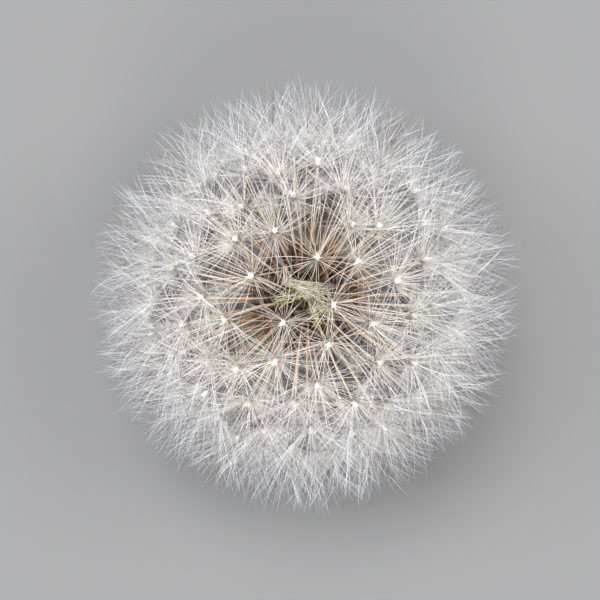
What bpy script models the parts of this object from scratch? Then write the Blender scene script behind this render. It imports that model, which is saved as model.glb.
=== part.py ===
"""A dandelion seed head (a "clock"), cut with a short stub of its stem.

Metres, +Z up. The stem runs along Z, the crown of the head is at the top, and the origin is in
the middle of the underside, where the cut stem and the lowest bristles stand on a surface.

Nodes: seed_head (the domed receptacle with every seed grown from it, and each seed's beak and
bristles), inner_bracts, outer_bracts and scape (the hollow stem).
"""

import math
import random

import bmesh
import bpy
from mathutils import Vector

MM = 0.001

# Driving dimensions
HEAD_RADIUS = 22.3 * MM  # from the head's middle to the furthest bristle tips
MIDDLE_HEIGHT = 20.5 * MM  # of the head's middle over the surface it stands on
STAR_RADIUS = 17.0 * MM  # from the head's middle to where the bristles spread
CORE_RADIUS = 3.3 * MM  # of the domed receptacle
SEED_LENGTH = 3.1 * MM  # of the achene, the seed proper
SEED_WIDTH = 0.86 * MM
SEED_WIDEST = 0.58  # of the way up the achene
NECK_RADIUS = 0.17 * MM  # of the achene at either end
ROOT_DEPTH = 1.2 * MM  # how far an achene is sunk in the receptacle
BEAK_RADIUS = 0.14 * MM  # of the stalk between the achene and its bristles
SCAPE_RADIUS = 2.2 * MM
SCAPE_WALL = 0.7 * MM
GAP = 0.3 * MM  # between two nodes that touch on the real thing

# How many of each there are
SEEDS = 162
BRISTLES = 9  # on each seed, a multiple of three
INNER_BRACTS = 13
OUTER_BRACTS = 11

# The spiral that the seeds stand in
GOLDEN_ANGLE = math.pi * (3 - math.sqrt(5))
SPIRAL_START = 1.3  # steps left free round the crown
SPIRAL_TURN = math.radians(355)
LOWEST_STAR = math.radians(148)  # from the crown
ROOT_SQUEEZE = 0.72  # a root's angle from the crown, as a share of its star's
ROOT_LEAN = 0.80  # the same for the way that a seed sets out
JITTER = math.radians(2.6)

# Bristles
BRISTLE_LEAN = math.radians(54)  # from the beak
LEAN_SPREAD = math.radians(7)
TURN_SPREAD = 0.3  # of the step between two bristles of one seed
SHORTEST_REACH = 0.975  # of the head's radius
BRISTLE_TURNS = 26  # places tried for each, to keep it clear of those before it
BRISTLE_CLEARANCE = 0.34 * MM
BRISTLE_SPAN = 7 * MM  # the furthest that a bristle reaches sideways
HUB_RADIUS = 0.30 * MM
HUB_HEIGHT = 0.34 * MM

# Bracts, seen from the side as (distance from the stem's axis, depth below the head's middle)
INNER_PATH = [(2.9, 3.5), (3.75, 3.75), (4.05, 4.9), (3.95, 8.2), (4.35, 11.8), (5.3, 15.0)]
OUTER_PATH = [(2.75, 5.9), (3.0, 6.4), (2.95, 7.9), (2.95, 10.4), (3.15, 13.4)]
INNER_WIDTHS = [1.3, 1.5, 1.5, 1.5, 1.15, 0.45]
OUTER_WIDTHS = [1.2, 1.3, 1.3, 1.15, 0.45]
INNER_COLLAR = [(2.5, 4.6), (3.2, 4.4), (3.5, 3.1), (2.5, 3.1)]
OUTER_COLLAR = [(2.5, 6.9), (3.0, 6.7), (3.0, 5.5), (2.5, 5.2)]
INNER_TURN = 0.1  # of the first bract round the stem, in radians
OUTER_TURN = 0.3
BRACT_THICKNESS = 0.6 * MM

ROUND_SIDES = 32
CORE_SIDES, CORE_BANDS = 16, 10
UNDERSIDE = 0.8  # how deep the receptacle is below its middle, as a share of its radius
SMOOTH_UP_TO = math.radians(50)


def clear_scene():
    for old in list(bpy.data.objects):
        bpy.data.objects.remove(old, do_unlink=True)


def make_material(name, colour, roughness):
    material = bpy.data.materials.new(name)
    material.use_nodes = True
    shader = material.node_tree.nodes["Principled BSDF"]
    shader.inputs["Base Color"].default_value = (*colour, 1)
    shader.inputs["Roughness"].default_value = roughness
    shader.inputs["Metallic"].default_value = 0
    material.diffuse_color = (*colour, 1)
    return material


def add_object(name, work, material=None):
    """The bmesh as an object whose frame's origin is the head's middle."""
    bmesh.ops.recalc_face_normals(work, faces=work.faces)
    mesh = bpy.data.meshes.new(name)
    work.to_mesh(mesh)
    work.free()
    if material:
        mesh.materials.append(material)
    thing = bpy.data.objects.new(name, mesh)
    thing.location.z = MIDDLE_HEIGHT
    bpy.context.scene.collection.objects.link(thing)
    return thing


def smooth(thing):
    thing.data.shade_smooth()
    thing.data.set_sharp_from_angle(angle=SMOOTH_UP_TO)


def grow_together(core, pieces):
    """Joins the pieces to the core in one union, and removes them."""
    branch = bpy.data.collections.new(core.name + "_pieces")
    bpy.context.scene.collection.children.link(branch)
    for piece in pieces:
        bpy.context.scene.collection.objects.unlink(piece)
        branch.objects.link(piece)
    union = core.modifiers.new("Grow together", "BOOLEAN")
    union.operand_type = "COLLECTION"
    union.collection = branch
    union.operation = "UNION"
    union.solver = "EXACT"
    bpy.context.view_layer.objects.active = core
    bpy.ops.object.modifier_apply(modifier=union.name)
    for piece in pieces:
        bpy.data.objects.remove(piece, do_unlink=True)
    bpy.data.collections.remove(branch)


# --- the seeds ---


def polar(distance, tilt, turn):
    """A point at this angle from the crown, seen from the head's middle."""
    across = distance * math.sin(tilt)
    return Vector((across * math.cos(turn), across * math.sin(turn), distance * math.cos(tilt)))


def seed_sites():
    """(tilt from the crown, turn round the stem) of each seed's star, on a golden-angle spiral."""
    draw = random.Random(2465)
    step = (1 - math.cos(LOWEST_STAR)) / (SEEDS + SPIRAL_START - 0.5)
    sites = []
    for i in range(SEEDS):
        tilt = math.acos(1 - (i + SPIRAL_START) * step)
        turn = SPIRAL_TURN - i * GOLDEN_ANGLE
        tilt += draw.uniform(-JITTER, JITTER)
        turn += draw.uniform(-JITTER, JITTER) / max(math.sin(tilt), 0.2)
        sites.append((min(tilt, LOWEST_STAR), turn))
    return sites


def seed_curve(tilt, turn):
    """The seed's line as a quadratic curve: its root in the receptacle, a bend, and its star."""
    root = polar(CORE_RADIUS, tilt * ROOT_SQUEEZE, turn)
    bend = root + polar(SEED_LENGTH, tilt * ROOT_LEAN, turn)
    return root, bend, polar(STAR_RADIUS, tilt, turn)


def along(curve, t):
    """The point and the direction at t of the curve, from 0 at its root to 1 at its star."""
    root, bend, star = curve
    heading = ((bend - root) * (1 - t) + (star - bend) * t).normalized()
    return root * (1 - t) ** 2 + bend * 2 * t * (1 - t) + star * t**2, heading


def travelled(curve, distance):
    """The t at which the curve has run this far from its root."""
    steps = 60
    run, before = 0, curve[0]
    for i in range(1, steps + 1):
        point = along(curve, i / steps)[0]
        run += (point - before).length
        if run >= distance:
            return i / steps
        before = point
    return 1


def ring(work, centre, heading, turn, radius, sides, start=0.0):
    """A ring of vertices square to the heading. Its first axis runs round the stem."""
    first = Vector((-math.sin(turn), math.cos(turn), 0))
    second = heading.cross(first).normalized()
    corners = []
    for k in range(sides):
        angle = start + math.tau * k / sides
        offset = first * math.cos(angle) + second * math.sin(angle)
        corners.append(work.verts.new(centre + offset * radius))
    return corners


def skin(work, lower, upper):
    """Closes the band between two rings of the same number of corners."""
    for k in range(len(lower)):
        after = (k + 1) % len(lower)
        work.faces.new((lower[k], lower[after], upper[after], upper[k]))


def flare(work, triangle, rim):
    """Closes the band from a ring of three corners to a rim of more, a multiple of three."""
    each = len(rim) // 3
    for k in range(3):
        low, after = triangle[k], triangle[(k + 1) % 3]
        for j in range(each):
            here, there = rim[k * each + j], rim[(k * each + j + 1) % len(rim)]
            if j == each // 2 + 1:
                work.faces.new((low, after, here))
            work.faces.new((low if j <= each // 2 else after, there, here))


def bristle_tip(star, lean, round_star, reach):
    """Where a bristle ends that leaves the star at this lean and turn round it."""
    point, heading, turn = star
    first = Vector((-math.sin(turn), math.cos(turn), 0))
    second = heading.cross(first).normalized()
    sideways = first * math.cos(round_star) + second * math.sin(round_star)
    way = heading * math.cos(lean) + sideways * math.sin(lean)
    inward = point.dot(way)
    tip = point + way * (math.sqrt(inward**2 + reach**2 - point.length_squared) - inward)
    tip.z = max(tip.z, -MIDDLE_HEIGHT)  # bent up by the surface
    return tip


def distance_between(a, b, c, d):
    """The least distance between the straight lines a to b and c to d."""
    u, v, w = b - a, d - c, a - c
    uu, uv, vv, uw, vw = u.dot(u), u.dot(v), v.dot(v), u.dot(w), v.dot(w)
    flat = max(uu * vv - uv * uv, 1e-18)
    s = min(max((uv * vw - vv * uw) / flat, 0), 1)
    t = min(max((uv * s + vw) / vv, 0), 1)
    s = min(max((uv * t - uw) / uu, 0), 1)
    return (w + u * s - v * t).length


def clearance(line, others):
    return min((distance_between(*line, *other) for other in others), default=1)


def spread_bristles(stars):
    """The tips of each star's bristles, each turned and leant to keep clear of those before it."""
    draw = random.Random(23)
    tips, lines = [], [[] for _ in stars]
    for index, star in enumerate(stars):
        others = [
            line
            for other in range(index)
            if (stars[other][0] - star[0]).length < 2 * BRISTLE_SPAN
            for line in lines[other]
        ]
        start = draw.uniform(0, math.tau)
        chosen = []
        for k in range(BRISTLES):
            best, most = None, -1
            for _ in range(BRISTLE_TURNS):
                step = k + draw.uniform(-TURN_SPREAD, TURN_SPREAD)
                lean = BRISTLE_LEAN + draw.uniform(-LEAN_SPREAD, LEAN_SPREAD)
                reach = HEAD_RADIUS * draw.uniform(SHORTEST_REACH, 1)
                tip = bristle_tip(star, lean, start + math.tau * step / BRISTLES, reach)
                clear = clearance((star[0], tip), others)
                if clear > most:
                    best, most = tip, clear
                if clear > BRISTLE_CLEARANCE:
                    break
            chosen.append(best)
        lines[index] = [(star[0], tip) for tip in chosen]
        tips.append((start, chosen))
    return tips


def add_seed(index, curve, turn, start, tips):
    """One seed as one closed body: root, achene, beak, and a hub that the bristles grow from."""
    work = bmesh.new()
    root, setting_out = along(curve, 0)
    point = work.verts.new(root - setting_out * ROOT_DEPTH)
    rings = [ring(work, root - setting_out * NECK_RADIUS, setting_out, turn, NECK_RADIUS, 3, start)]
    for distance, radius in ((SEED_WIDEST * SEED_LENGTH, SEED_WIDTH / 2), (SEED_LENGTH, NECK_RADIUS)):
        centre, heading = along(curve, travelled(curve, distance))
        rings.append(ring(work, centre, heading, turn, radius, 3, start))
    star, heading = along(curve, 1)
    rings.append(ring(work, star - heading * HUB_HEIGHT, heading, turn, BEAK_RADIUS, 3, start))
    for k in range(3):
        work.faces.new((point, rings[0][(k + 1) % 3], rings[0][k]))
    for lower, upper in zip(rings, rings[1:]):
        skin(work, lower, upper)
    shoulder = star - heading * HUB_HEIGHT / 3
    rim = ring(work, shoulder, heading, turn, HUB_RADIUS, BRISTLES, start - math.pi / BRISTLES)
    flare(work, rings[-1], rim)
    top = work.verts.new(star + heading * HUB_HEIGHT / 3)
    for k, tip in enumerate(tips):
        end = work.verts.new(tip)
        after = rim[(k + 1) % BRISTLES]
        work.faces.new((rim[k], after, end))
        work.faces.new((after, top, end))
        work.faces.new((top, rim[k], end))
    return add_object(f"seed_{index}", work)


def add_seed_head(material):
    """The domed receptacle with the seeds grown from it."""
    work = bmesh.new()
    bmesh.ops.create_uvsphere(
        work, u_segments=CORE_SIDES, v_segments=CORE_BANDS, radius=CORE_RADIUS
    )
    for corner in work.verts:
        corner.co.z *= 1 if corner.co.z > 0 else UNDERSIDE
    head = add_object("seed_head", work, material)
    sites = seed_sites()
    curves = [seed_curve(*site) for site in sites]
    stars = [(*along(curve, 1), site[1]) for curve, site in zip(curves, sites)]
    seeds = []
    for index, (start, tips) in enumerate(spread_bristles(stars)):
        seeds.append(add_seed(index, curves[index], sites[index][1], start, tips))
    grow_together(head, seeds)
    smooth(head)
    return head


# --- the bracts ---


def add_collar(name, profile, material):
    """A ring turned round the stem from an outline of (distance from the axis, depth) in mm."""
    work = bmesh.new()
    rings = []
    for distance, depth in profile:
        centre = Vector((0, 0, -depth * MM))
        rings.append(ring(work, centre, Vector((0, 0, 1)), 0, distance * MM, ROUND_SIDES))
    for lower, upper in zip(rings, rings[1:] + rings[:1]):
        skin(work, lower, upper)
    return add_object(name, work, material)


def add_bract(name, path, widths, turn):
    """A lance-shaped bract that leaves its collar, turns over and hangs along the stem."""
    work = bmesh.new()
    outward = Vector((math.cos(turn), math.sin(turn), 0))
    sideways = Vector((-math.sin(turn), math.cos(turn), 0))
    points = [outward * across * MM + Vector((0, 0, -depth * MM)) for across, depth in path]
    loops = []
    for i, (point, width) in enumerate(zip(points, widths)):
        heading = (points[min(i + 1, len(points) - 1)] - points[max(i - 1, 0)]).normalized()
        normal = heading.cross(sideways).normalized()
        half, deep = sideways * width * MM / 2, normal * BRACT_THICKNESS / 2
        corners = (point + half + deep, point - half + deep, point - half - deep, point + half - deep)
        loops.append([work.verts.new(corner) for corner in corners])
    work.faces.new(loops[0])
    work.faces.new(loops[-1])
    for lower, upper in zip(loops, loops[1:]):
        skin(work, lower, upper)
    return add_object(name, work)


def add_bracts(name, collar, path, widths, count, first_turn, material):
    """One row of bracts with the collar that holds them, as one body."""
    body = add_collar(name, collar, material)
    blades = []
    for k in range(count):
        turn = first_turn + math.tau * k / count
        blades.append(add_bract(f"{name}_{k}", path, widths, turn))
    grow_together(body, blades)
    smooth(body)
    return body


# --- the stem ---


def add_scape(material):
    """The hollow stem, from under the receptacle to its cut end."""
    outer, inner = SCAPE_RADIUS, SCAPE_RADIUS - SCAPE_WALL
    top = -CORE_RADIUS * UNDERSIDE - GAP
    outline = [(outer, -MIDDLE_HEIGHT), (outer, top), (inner, top), (inner, -MIDDLE_HEIGHT)]
    stem = add_collar("scape", [(across / MM, -z / MM) for across, z in outline], material)
    smooth(stem)
    return stem


def main():
    clear_scene()
    down = make_material("pappus_and_seeds", (0.83, 0.80, 0.76), 0.6)
    green = make_material("bract_green", (0.30, 0.36, 0.16), 0.55)
    dull_green = make_material("outer_bract_green", (0.36, 0.38, 0.20), 0.6)
    stem_green = make_material("stem_green", (0.45, 0.48, 0.26), 0.45)
    add_seed_head(down)
    inner, outer = (INNER_COLLAR, INNER_PATH, INNER_WIDTHS), (OUTER_COLLAR, OUTER_PATH, OUTER_WIDTHS)
    add_bracts("inner_bracts", *inner, INNER_BRACTS, INNER_TURN, green)
    add_bracts("outer_bracts", *outer, OUTER_BRACTS, OUTER_TURN, dull_green)
    add_scape(stem_green)


if __name__ == "__main__":
    main()
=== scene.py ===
"""A ripe dandelion seed head, dressed: every bristle, beak, achene, bract and the stem's stub.

Metres, +Z up, standing on its cut stem. Run as a script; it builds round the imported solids.
"""

import math
import random
from typing import NamedTuple

import bpy
import numpy as np
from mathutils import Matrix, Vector


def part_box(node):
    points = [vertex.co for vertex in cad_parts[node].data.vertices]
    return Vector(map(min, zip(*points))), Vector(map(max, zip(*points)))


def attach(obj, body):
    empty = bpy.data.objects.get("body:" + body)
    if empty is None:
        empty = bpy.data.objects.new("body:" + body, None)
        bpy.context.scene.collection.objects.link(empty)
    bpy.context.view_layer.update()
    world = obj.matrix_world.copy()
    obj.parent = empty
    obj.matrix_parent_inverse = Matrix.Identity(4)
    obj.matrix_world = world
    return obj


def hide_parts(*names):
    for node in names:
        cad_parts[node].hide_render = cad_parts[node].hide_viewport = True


bl_info = {
    "name": "Dandelion Seed Head",
    "version": (1, 0, 0),
    "blender": (4, 5, 0),
    "location": "3D View > Sidebar > Seed Head",
    "description": "Builds a ripe dandelion head with its seeds, bracts and stem",
    "category": "Add Mesh",
}

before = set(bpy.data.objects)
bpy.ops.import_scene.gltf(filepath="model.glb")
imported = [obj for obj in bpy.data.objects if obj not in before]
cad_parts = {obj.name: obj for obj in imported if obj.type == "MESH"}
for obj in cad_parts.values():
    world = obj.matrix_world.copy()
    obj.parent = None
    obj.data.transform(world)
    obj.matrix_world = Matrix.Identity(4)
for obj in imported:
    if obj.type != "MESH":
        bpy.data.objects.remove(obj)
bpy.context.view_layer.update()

MM = 0.001

# The head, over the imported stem, in the sizes of the solids
SCAPE_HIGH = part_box("scape")[1]
SCAPE_WALL = 0.7 * MM
CORE_RADIUS = 3.3 * MM  # of the domed receptacle
UNDERSIDE = 0.8  # the receptacle's depth below its middle, as a share of its radius
GAP = 0.3 * MM  # between the stem and the receptacle
MIDDLE = SCAPE_HIGH.z + GAP + CORE_RADIUS * UNDERSIDE  # height of the head's middle
LIFT = np.array([0, 0, MIDDLE])
STAR_RADIUS = 17.0 * MM  # from the head's middle to where the bristles spread
SEED_LENGTH = 3.1 * MM  # of the achene, the seed proper
SEED_WIDTH = 0.86 * MM

# The spiral that the seeds stand in, as in the solids
SEEDS = 162
GOLDEN_ANGLE = math.pi * (3 - math.sqrt(5))
SPIRAL_START = 1.3  # steps left free at the crown
SPIRAL_TURN = math.radians(355)
LOWEST_STAR = math.radians(148)  # from the crown
ROOT_SQUEEZE = 0.72  # a root's angle from the crown, as a share of its star's
ROOT_LEAN = 0.80  # the same for the way that a seed sets out
JITTER = math.radians(2.6)
STEEPEST = 0.2  # the least sine that a turn's jitter is divided by

# Strands of the same tone and tint share a column of the map
TONES, TINTS = 8, 16
MAP_NAME = "OFBake"
SIDE_GAP, END_GAP = 0.1, 0.02  # left free in a column, as shares


# --- settings ---


def colour(name, default, of):
    """A colour that a user can change."""
    return bpy.props.FloatVectorProperty(
        name=name, description="Colour of " + of, subtype="COLOR", size=3, default=default
    )


def distance(name, default, description):
    """A length that a user can change, in metres."""
    return bpy.props.FloatProperty(name=name, description=description, unit="LENGTH", default=default)


class DANDELION_PG_head(bpy.types.PropertyGroup):
    """Sizes and colours of the seeds and of what they stand on."""

    bristles: bpy.props.IntProperty(
        name="Bristles", description="Bristles on each seed", default=92, min=9, max=120
    )
    bristle_length: distance("Bristle Length", 7.6 * MM, "Length of a usual bristle")
    bristle_width: distance("Bristle Width", 0.058 * MM, "Width of a thick bristle")
    beak_width: distance("Beak Width", 0.155 * MM, "Width of the stalk near its foot")
    curl_width: distance("Curl Width", 0.12 * MM, "Width of the curls between the wisps")
    bristle_white: colour("Bristle White", (0.91, 0.905, 0.905), "most bristles")
    bristle_warm: colour("Bristle Warm", (0.95, 0.85, 0.73), "those at the crown")
    # painted light: a cool tint on the bristles' ends, for bluish light
    bristle_cool_light: colour("Bristle Tip", (0.69, 0.74, 0.84), "the cool ends")
    bristle_dull: colour("Bristle Dull", (0.34, 0.31, 0.29), "the dullest high up")
    # dull strands, darkened further by painted shade on the low tiers
    bristle_dull_and_shade: colour("Bristle Deep", (0.12, 0.105, 0.095), "the dullest low down")
    # painted shade: the dark of the bristles' sides that face the head's middle, and of the crown's
    # dullest
    bristle_painted_shade: colour("Bristle Inside", (0.13, 0.09, 0.06), "their inner sides")
    hub_white: colour("Hub White", (0.97, 0.96, 0.94), "a star's middle")
    hub_cream: colour("Hub Cream", (0.95, 0.89, 0.70), "the creamiest middles")
    # the beak's tan with painted shade, on the hub's side next to the beak
    hub_tan_and_shade: colour("Hub Underside", (0.66, 0.55, 0.40), "its side next to the beak")
    wisp_green: colour("Wisp Green", (0.62, 0.57, 0.40), "the wisps at their feet")
    wisp_pale: colour("Wisp Pale", (0.95, 0.91, 0.81), "the wisps at their tips")
    wisp_shade: colour("Wisp Shade", (0.16, 0.12, 0.05), "their dull strands")
    curl_yellow: colour("Curl Yellow", (0.62, 0.56, 0.16), "the brightest curls")
    curl_green: colour("Curl Green", (0.09, 0.07, 0.015), "the deepest curls")
    curl_pale: colour("Curl Pale", (0.58, 0.54, 0.36), "the palest curls")
    beak_foot: colour("Beak Foot", (0.38, 0.20, 0.08), "its end at the achene")
    beak_middle: colour("Beak Middle", (0.66, 0.51, 0.37), "the beak halfway up")
    beak_top: colour("Beak Top", (0.85, 0.79, 0.72), "its end under the bristles")
    achene_brown: colour("Achene Brown", (0.035, 0.017, 0.007), "ripe seeds")
    achene_tan: colour("Achene Tan", (0.19, 0.10, 0.045), "their palest and necks")
    achene_pale: colour("Achene Pale", (0.13, 0.115, 0.04), "those at the crown")
    achene_speck: colour("Achene Speck", (0.03, 0.02, 0.01), "their dark specks")
    receptacle_pale: colour("Receptacle", (0.66, 0.68, 0.34), "its skin")
    receptacle_pit: colour("Receptacle Pit", (0.10, 0.08, 0.03), "its pits")
    receptacle_fleck: colour("Receptacle Fleck", (0.80, 0.82, 0.62), "its flecks")


class DANDELION_PG_green(bpy.types.PropertyGroup):
    """Colours of the bracts and the stem."""

    bract_green: colour("Bract Green", (0.16, 0.22, 0.06), "the blade")
    bract_streak: colour("Bract Streak", (0.30, 0.34, 0.13), "its pale streaks")
    bract_dry: colour("Bract Dry", (0.34, 0.26, 0.12), "its dry patches")
    bract_margin: colour("Bract Margin", (0.55, 0.56, 0.36), "its thin edge")
    bract_tip: colour("Bract Tip", (0.24, 0.12, 0.06), "its dry point")
    stem_green: colour("Stem Green", (0.34, 0.38, 0.15), "most of the stem")
    stem_streak: colour("Stem Streak", (0.46, 0.50, 0.24), "its pale streaks")
    stem_red: colour("Stem Red", (0.42, 0.22, 0.13), "its blush")
    stem_pith: colour("Stem Pith", (0.66, 0.70, 0.46), "its inside and its cut")


class DANDELION_PG_stage(bpy.types.PropertyGroup):
    """The floor, the lights and the camera."""

    floor_grey: colour("Floor", (0.172, 0.172, 0.174), "the floor")
    sky_white: colour("Sky White", (0.95, 0.97, 1.0), "the even light")
    sky: bpy.props.FloatProperty(
        name="Sky", description="Strength of the even light from all round", default=0.52, min=0
    )
    key_power: bpy.props.FloatProperty(
        name="Key Strength", description="Strength of the highest lamp", default=2.9, min=0
    )
    camera_height: distance("Camera Height", 0.32, "Height of the camera over the floor")
    view_width: distance("View Width", 64.3 * MM, "Width seen across the head's middle")


# --- shader expressions ---


def operator(operation, swapped=False):
    """A method of Wire that adds a Math node."""

    def method(self, other):
        values = (other, self) if swapped else (self, other)
        return self.graph.math(operation, *values)

    return method


class Wire:
    """A node's output. Arithmetic on it adds Math nodes."""

    def __init__(self, graph, socket):
        self.graph = graph
        self.socket = socket

    __add__ = __radd__ = operator("ADD")
    __mul__ = __rmul__ = operator("MULTIPLY")
    __sub__, __rsub__ = operator("SUBTRACT"), operator("SUBTRACT", True)
    __truediv__, __rtruediv__ = operator("DIVIDE"), operator("DIVIDE", True)


class Graph:
    """A new material and its nodes, on one Principled shader."""

    def __init__(self, name, roughness):
        self.material = bpy.data.materials.new(name)
        self.material.use_nodes = True
        self.tree = self.material.node_tree
        self.shader = self.tree.nodes["Principled BSDF"]
        self.set("Roughness", roughness)

    def add(self, kind, settings=(), sockets=(), output=0):
        """Adds a node. Its settings come first, then its sockets' values or links."""
        node = self.tree.nodes.new(kind)
        for name, value in dict(settings).items():
            setattr(node, name, value)
        for key, value in dict(sockets).items():
            self.feed(node.inputs[key], value)
        return Wire(self, node.outputs[output])

    def feed(self, socket, value):
        """Links a wire to the socket, or sets its value. A colour gets its alpha here."""
        if isinstance(value, Wire):
            self.tree.links.new(value.socket, socket)
        elif socket.type == "RGBA":
            socket.default_value = (*value, 1)
        else:
            socket.default_value = value

    def set(self, socket, value):
        self.feed(self.shader.inputs[socket], value)

    def math(self, operation, *values):
        return self.add("ShaderNodeMath", {"operation": operation}, enumerate(values))

    def clamp(self, value):
        return self.add("ShaderNodeClamp", (), {"Value": value})

    def smooth(self, value, low, high):
        """0 up to low, 1 from high, and a soft step between them."""
        sockets = {"Value": value, "From Min": low, "From Max": high}
        return self.add("ShaderNodeMapRange", {"interpolation_type": "SMOOTHSTEP"}, sockets)

    def mix(self, below, above, share):
        """The colour below, with this share of the one above. The keys are its colour sockets."""
        sockets = {0: share, 6: below, 7: above}
        return self.add("ShaderNodeMix", {"data_type": "RGBA"}, sockets, 2)

    def value(self, name):
        """A number that the mesh stores under this name."""
        return self.add("ShaderNodeAttribute", {"attribute_name": name}, (), 2)

    def place(self):
        return self.add("ShaderNodeTexCoord", (), (), "Object")

    def scaled(self, vector, scale):
        return self.add("ShaderNodeMapping", (), {"Vector": vector, "Scale": scale})

    def noise(self, vector, scale, detail=3.0):
        sockets = {"Vector": vector, "Scale": scale, "Detail": detail}
        return self.add("ShaderNodeTexNoise", (), sockets, "Fac")

    def bump(self, height, distance, strength):
        sockets = {"Height": height, "Distance": distance, "Strength": strength}
        self.set("Normal", self.add("ShaderNodeBump", (), sockets, "Normal"))


# --- mesh tools ---


def unit(vectors):
    return vectors / np.linalg.norm(vectors, axis=-1, keepdims=True)


def circle(count):
    """The angles of this many even steps round a circle."""
    return math.tau * np.arange(count) / count


def add_object(name, data):
    added = bpy.data.objects.new(name, data)
    bpy.context.scene.collection.objects.link(added)
    return added


def make_piece(name, vertices, faces, material, slot, *replaces):
    """A piece with the given material; its slot is not used. It replaces these nodes of the solids.
    """
    mesh = bpy.data.meshes.new(name)
    mesh.from_pydata(vertices.tolist(), [], faces.tolist())
    mesh.shade_smooth()
    mesh.materials.append(material)
    piece = add_object(name, mesh)
    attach(piece, "root")
    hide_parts(*replaces)
    return piece


def set_values(piece, domain="POINT", **values):
    """Stores a number at each vertex or triangle's corner, under each name."""
    for name, numbers in values.items():
        layer = piece.data.attributes.new(name, "FLOAT", domain)
        layer.data.foreach_set("value", np.asarray(numbers, np.float32).ravel())


def side_frames(lines):
    """Two directions square to each line at each point. The first starts out facing away from the
    head's middle, and turns as little as it can.
    """
    ahead = unit(np.gradient(lines, axis=1))
    outward = unit(lines.mean(axis=1) - LIFT)
    first = np.empty_like(ahead)
    for i in range(lines.shape[1]):
        carried = first[:, i - 1] if i else outward
        across = carried - ahead[:, i] * (carried * ahead[:, i]).sum(-1, keepdims=True)
        first[:, i] = unit(across)
    return first, np.cross(ahead, first)


def cells(grid):
    """Two triangles for each cell of a grid of points' numbers."""
    a, b, c, d = grid[:-1, :-1], grid[:-1, 1:], grid[1:, 1:], grid[1:, :-1]
    return np.stack([a, b, c, a, c, d], -1).reshape(-1, 3)


def ring_faces(rings, sides):
    """Triangles of rings of points, of which the last one joins the first."""
    grid = np.arange(rings * sides).reshape(rings, sides)
    return cells(np.pad(grid, ((0, 1), (0, 1)), "wrap"))


def globe_faces(rings, sides):
    """Triangles of a globe. Its points are its rings from the top down, then its two poles."""
    grid = np.arange(rings * sides).reshape(rings, sides)
    grid = np.pad(grid, ((0, 0), (0, 1)), "wrap")
    high, low = grid[0], grid[-1]
    caps = [(rings * sides, a, b) for a, b in zip(high, high[1:])]
    caps += [(rings * sides + 1, b, a) for a, b in zip(low, low[1:])]
    return np.concatenate([cells(grid)[:, [0, 2, 1]], caps])


def tube_corners(stations, sides):
    """A pointed tube's triangles: the station along it and the side round it of each corner."""
    wide, last = sides + 1, stations - 2
    body = cells(np.arange((last + 1) * wide).reshape(-1, wide))
    rim = last * wide + np.arange(sides)
    tip = np.stack([rim, rim + 1, rim + wide], -1)
    fan = np.arange(1, sides - 1)
    foot = np.stack([0 * fan, fan + 1, fan], -1)
    return np.divmod(np.concatenate([body, tip, foot]), wide)


def tube_points(lines, radii, sides, section):
    """The points of tubes round the lines, each of which ends in a single one."""
    first, second = side_frames(lines)
    angles = circle(sides)
    around = np.stack([np.cos(angles) * section, np.sin(angles) * section], -1)
    offsets = first[:, :, None] * around[:, :1] + second[:, :, None] * around[:, 1:]
    rings = lines[:, :, None] + offsets * radii[:, :, None, None]
    body = rings[:, :-1].reshape(len(lines), -1, 3)
    return np.concatenate([body, lines[:, -1:]], axis=1)


def tones_of(columns):
    return (columns % TONES) / (TONES - 1)


def columns_for(draw, tints, each):
    """A map column for every strand: the seed's tint and a tone of its own."""
    tint = np.clip(np.round(tints * (TINTS - 1)), 0, TINTS - 1).astype(int)
    return np.repeat(tint, each) * TONES + draw.integers(0, TONES, tints.size * each)


def strand_piece(name, lines, radii, sides, columns, material, slot, section=1.0, inner_painted_shade=0.0):
    """One piece of many strands. Their columns set their tones, tints and places in the map. On
    strands of three sides, the strength of a painted shade is stored on the side that faces the
    head's middle.
    """
    count, stations = lines.shape[:2]
    radii = np.broadcast_to(radii, lines.shape[:2])
    points = tube_points(lines, radii, sides, np.broadcast_to(section, sides))
    station, side = tube_corners(stations, sides)
    tip, stride = stations - 1, points.shape[1]
    one = np.where(station == tip, tip * sides, station * sides + side % sides)
    faces = (one + stride * np.arange(count)[:, None, None]).reshape(-1, 3)
    piece = make_piece(name, points.reshape(-1, 3), faces, material, slot, "seed_head")
    ends = np.append(np.repeat(np.arange(tip), sides), tip) / tip
    set_values(
        piece,
        along=np.tile(ends, count),
        tone=np.repeat(tones_of(columns), stride),
        tint=np.repeat((columns // TONES) / (TINTS - 1), stride),
    )
    # painted shade: the side of a three-sided bristle that faces the head's middle carries the tier's
    # share of it
    facing_in = (sides == 3) & (side.min(axis=-1) == 1)
    set_values(piece, "CORNER", inner=np.tile(np.repeat(facing_in * inner_painted_shade, 3), count))

    across = SIDE_GAP + (1 - 2 * SIDE_GAP) * side / sides
    upward = END_GAP + (1 - 2 * END_GAP) * station / tip
    u = (columns[:, None, None] + across) / (TONES * TINTS)
    places = np.stack([u, np.broadcast_to(upward, u.shape)], -1)
    layer = piece.data.uv_layers.new(name=MAP_NAME)
    layer.uv.foreach_set("vector", places.astype(np.float32).ravel())


def turned(radii, heights):
    """Rings of points round the stem's axis. The radii have a row for each height."""
    turns = circle(radii.shape[1])
    heights = np.broadcast_to(heights[:, None], radii.shape)
    return np.stack([radii * np.cos(turns), radii * np.sin(turns), heights], -1).reshape(-1, 3)


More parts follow.
